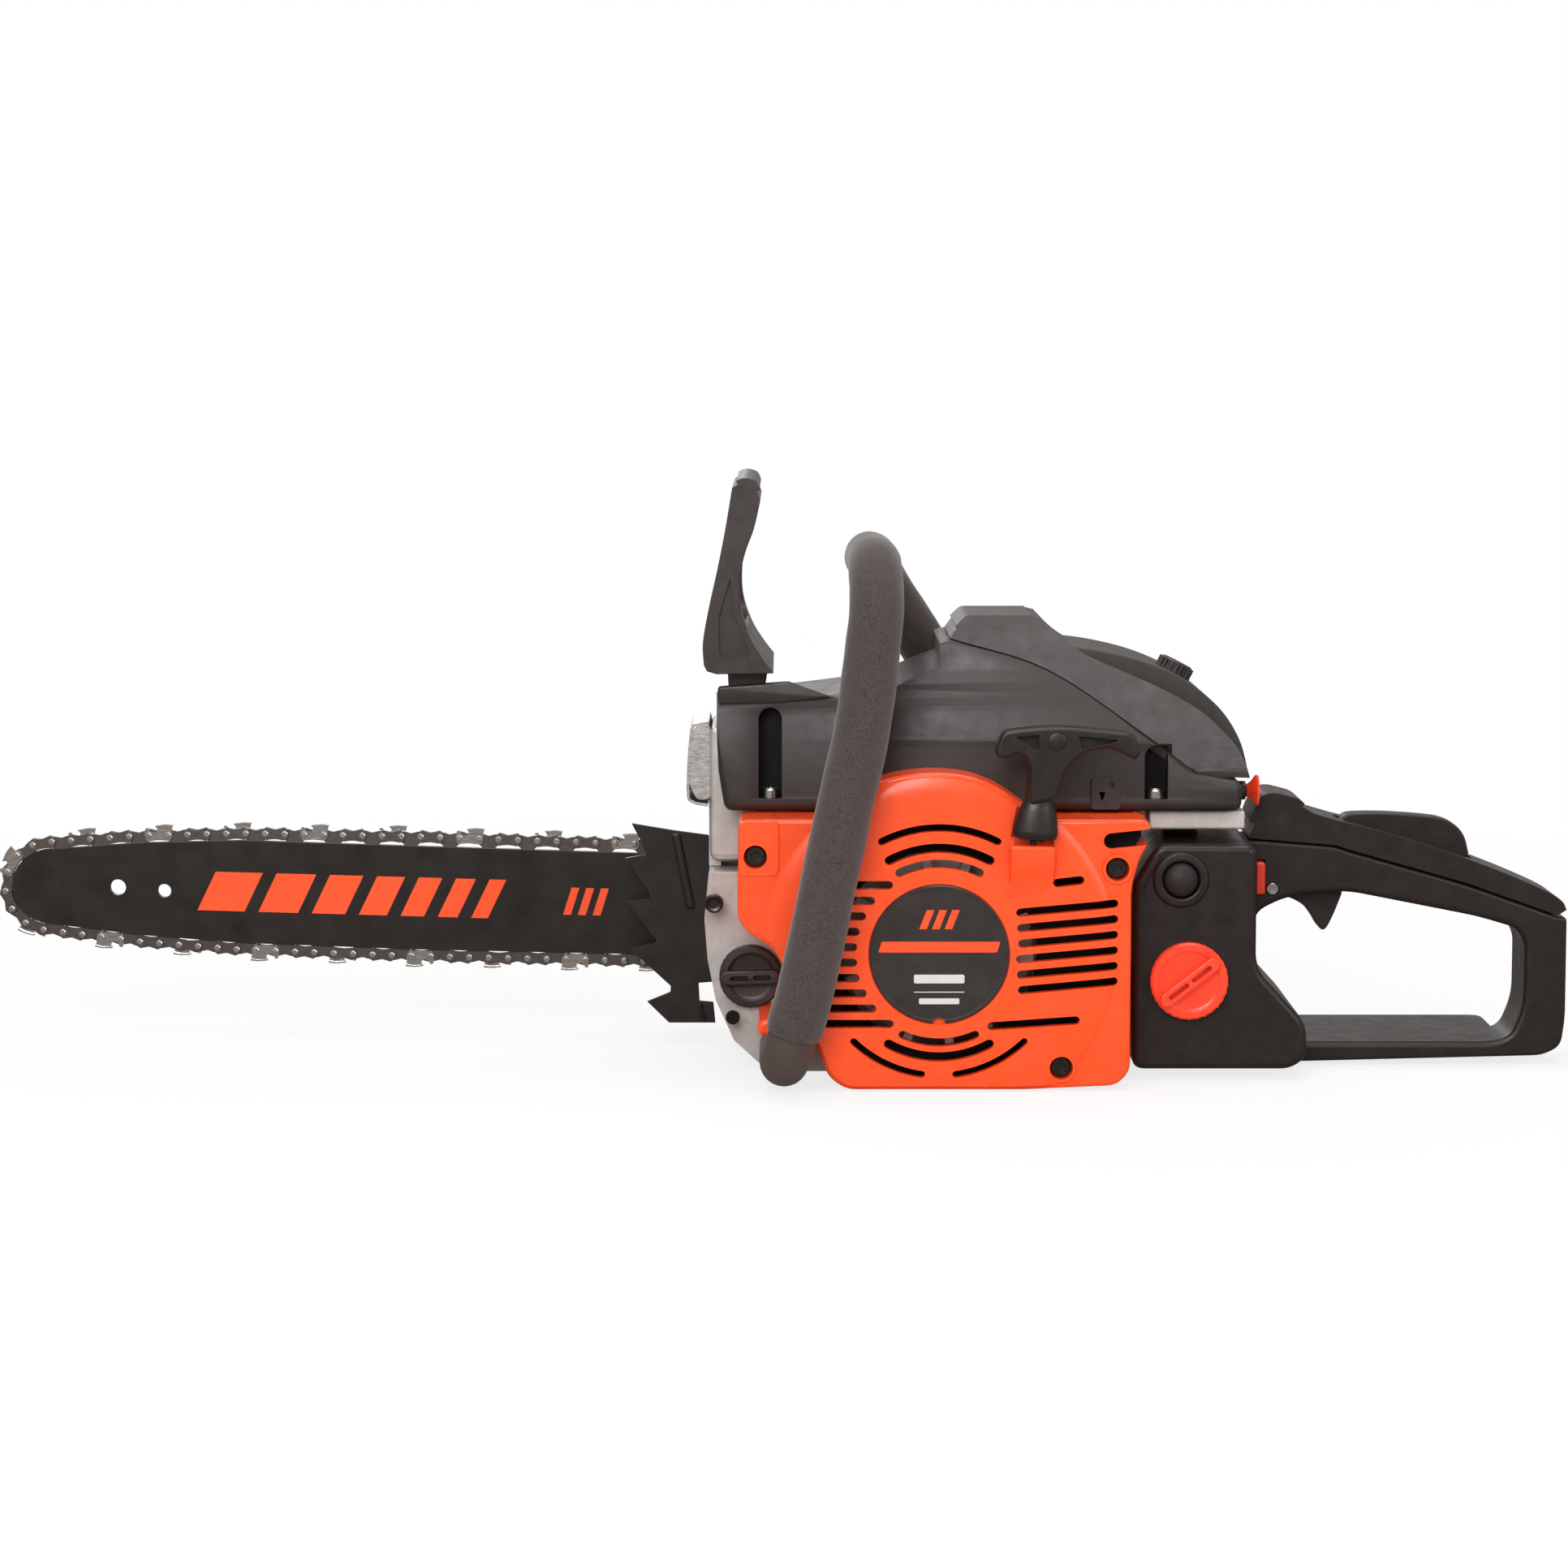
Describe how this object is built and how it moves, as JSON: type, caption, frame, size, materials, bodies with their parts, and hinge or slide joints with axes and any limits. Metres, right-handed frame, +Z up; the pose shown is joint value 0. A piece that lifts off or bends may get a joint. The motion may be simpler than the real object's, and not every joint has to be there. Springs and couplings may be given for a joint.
{
  "type": "chainsaw",
  "caption": "Petrol chainsaw with a guide bar and saw chain, orange starter cover, wrap-round front handle, hand guard, rear grip with trigger, and pull start",
  "frame": {"origin": "centre of the bounding box on the ground plane", "axes": "+X towards the rear handle, with the guide bar towards -X; +Y towards the clutch side; +Z up"},
  "size_m": [0.7846, 0.2048, 0.2905],
  "materials": {
    "orange_plastic": "glossy moulded",
    "black_plastic": "fine moulded texture",
    "tank_plastic": "satin moulded",
    "foam_grip": "foam",
    "cast_alloy": "cast",
    "bright_steel": "machined",
    "muffler_metal": "pressed sheet",
    "dark_steel": "oiled",
    "chain_steel": "hardened",
    "bar_paint": "satin painted",
    "black_steel": "satin painted",
    "grey_tube": "smooth",
    "control_red": "moulded",
    "bulb_rubber": "soft",
    "black_rubber": "moulded",
    "badge_black": "printed",
    "rope_fabric": "braided",
    "filter_felt": "felt"
  },
  "bodies": {
    "saw_body": {"crankcase_left": "cast_alloy", "crankcase_right": "cast_alloy", "cylinder": "cast_alloy", "ignition_coil": "black_plastic", "spark_plug": "bright_steel", "plug_boot": "black_rubber", "muffler": "muffler_metal", "muffler_shield": "muffler_metal", "intake_boot": "black_rubber", "carburetor": "cast_alloy", "air_filter": "filter_felt", "cylinder_cover": "black_plastic", "rear_bracket": "cast_alloy", "starter_cover": "orange_plastic", "starter_badge": "badge_black", "recoil_spring": "bright_steel", "starter_rope": "rope_fabric", "front_handle": "grey_tube", "handle_foam": "foam_grip", "rear_handle": "tank_plastic", "grip_cover": "tank_plastic", "trigger_pin": "bright_steel", "primer_ring": "tank_plastic", "spike_plate": "black_steel", "clutch_cover": "orange_plastic", "bar_nut_front": "bright_steel", "bar_nut_rear": "bright_steel", "brake_band": "bright_steel", "av_mount_lower": "black_rubber", "av_mount_upper": "black_rubber", "cover_screw_front": "dark_steel", "cover_screw_rear": "dark_steel", "cover_screw_low": "dark_steel"},
    "crank": {"crankshaft_left": "bright_steel", "crankshaft_right": "bright_steel", "flywheel": "cast_alloy", "clutch_hub": "dark_steel"},
    "piston_group": {"piston": "cast_alloy", "connecting_rod": "bright_steel", "crankpin": "bright_steel"},
    "drum": {"clutch_drum": "dark_steel", "oil_pump_worm": "bright_steel"},
    "bar": {"guide_bar": "bar_paint", "saw_chain": "chain_steel"},
    "nose_wheel": {"nose_sprocket": "bright_steel"},
    "tensioner": {"tensioner_screw": "bright_steel"},
    "guard": {"hand_guard": "black_plastic"},
    "trigger": {"throttle_trigger": "tank_plastic"},
    "lockout": {"throttle_lockout": "tank_plastic"},
    "throttle": {"throttle_shaft": "bright_steel"},
    "choke_flap": {"choke_shaft": "bright_steel"},
    "choke_pull": {"choke_knob": "control_red"},
    "primer": {"primer_bulb": "bulb_rubber"},
    "switch": {"stop_switch": "control_red"},
    "pull_grip": {"starter_grip": "tank_plastic"},
    "pulley": {"starter_pulley": "black_plastic"},
    "filter_cover": {"air_filter_cover": "black_plastic"},
    "cover_knob": {"filter_cover_knob": "black_plastic"},
    "fuel_lid": {"fuel_cap": "orange_plastic"},
    "oil_lid": {"oil_cap": "black_plastic"}
  },
  "joints": [
    {"name": "crank_spin", "type": "hinge", "parent": "saw_body", "child": "crank", "pos_m": [0.0808, 0.01557, 0.066], "axis": [0, 1, 0], "continuous": true},
    {"name": "piston_stroke", "type": "slide", "parent": "saw_body", "child": "piston_group", "axis": [0, 0, 1], "range_m": [0, 0.032]},
    {"name": "drum_spin", "type": "hinge", "parent": "saw_body", "child": "drum", "pos_m": [0.0808, 0.07557, 0.066], "axis": [0, 1, 0], "continuous": true},
    {"name": "bar_tension", "type": "slide", "parent": "saw_body", "child": "bar", "axis": [0.9996, 0, -0.0284], "range_m": [0, 0.004]},
    {"name": "nose_wheel_spin", "type": "hinge", "parent": "bar", "child": "nose_wheel", "pos_m": [-0.36652, 0.07057, 0.07913], "axis": [0, 1, 0], "continuous": true},
    {"name": "tensioner_turn", "type": "hinge", "parent": "saw_body", "child": "tensioner", "pos_m": [-0.00365, 0.06357, 0.0518], "axis": [1, 0, 0], "range_deg": [0, 1820]},
    {"name": "hand_guard_brake", "type": "hinge", "parent": "saw_body", "child": "guard", "pos_m": [-0.0112, 0.01557, 0.1816], "axis": [0, -1, 0], "range_deg": [0, 20]},
    {"name": "throttle_trigger_pull", "type": "hinge", "parent": "saw_body", "child": "trigger", "pos_m": [0.247, 0.01757, 0.0876], "axis": [0, -1, 0], "range_deg": [0, 18], "stiffness_Nm_per_rad": 0.8, "springref_deg": -14.32},
    {"name": "throttle_lockout_press", "type": "hinge", "parent": "saw_body", "child": "lockout", "pos_m": [0.2858, 0.01757, 0.1106], "axis": [0, 1, 0], "range_deg": [0, 9], "stiffness_Nm_per_rad": 0.8, "springref_deg": -14.32},
    {"name": "throttle_shaft_turn", "type": "hinge", "parent": "saw_body", "child": "throttle", "pos_m": [0.1508, 0.01557, 0.1396], "axis": [0, -1, 0], "range_deg": [0, 75.5]},
    {"name": "choke_shaft_turn", "type": "hinge", "parent": "saw_body", "child": "choke_flap", "pos_m": [0.1678, 0.01557, 0.1396], "axis": [0, 1, 0], "range_deg": [0, 80.5]},
    {"name": "choke_knob_pull", "type": "slide", "parent": "saw_body", "child": "choke_pull", "axis": [1, 0, 0], "range_m": [0, 0.012]},
    {"name": "primer_bulb_press", "type": "slide", "parent": "saw_body", "child": "primer", "axis": [0, 1, 0], "range_m": [0, 0.0035], "stiffness_N_per_m": 1500, "springref_m": -0.0005},
    {"name": "stop_switch_rock", "type": "hinge", "parent": "saw_body", "child": "switch", "pos_m": [0.2404, 0.00057, 0.0934], "axis": [1, 0, 0], "range_deg": [0, 8]},
    {"name": "starter_grip_pull", "type": "slide", "parent": "saw_body", "child": "pull_grip", "axis": [0.1908, 0, 0.9816], "range_m": [0, 0.6], "stiffness_N_per_m": 20, "springref_m": -0.25, "deforming": ["starter_rope"]},
    {"name": "starter_pulley_turn", "type": "hinge", "parent": "saw_body", "child": "pulley", "pos_m": [0.0808, -0.05843, 0.066], "axis": [0, -1, 0], "range_deg": [0, 1470]},
    {"name": "filter_cover_lift", "type": "slide", "parent": "saw_body", "child": "filter_cover", "axis": [0.454, 0, 0.891], "range_m": [0, 0.06]},
    {"name": "filter_cover_knob_turn", "type": "hinge", "parent": "filter_cover", "child": "cover_knob", "pos_m": [0.1963, 0.01357, 0.1901], "axis": [0.454, 0, 0.891], "range_deg": [0, 720]},
    {"name": "fuel_cap_turn", "type": "hinge", "parent": "saw_body", "child": "fuel_lid", "pos_m": [0.2021, -0.04243, 0.0492], "axis": [0, -1, 0], "range_deg": [0, 540]},
    {"name": "oil_cap_turn", "type": "hinge", "parent": "saw_body", "child": "oil_lid", "pos_m": [-0.009, -0.02043, 0.048], "axis": [0, -1, 0], "range_deg": [0, 540]}
  ],
  "couplings": [
    {"joint": "nose_wheel_spin", "follows": "drum_spin", "ratio": 0.85714},
    {"joint": "throttle_shaft_turn", "follows": "throttle_trigger_pull", "ratio": 4.1667},
    {"joint": "choke_shaft_turn", "follows": "choke_knob_pull", "rad_per_m": 116.36},
    {"joint": "starter_pulley_turn", "follows": "starter_grip_pull", "rad_per_m": 42.553},
    {"joint": "tensioner_turn", "follows": "bar_tension", "rad_per_m": 7854}
  ]
}
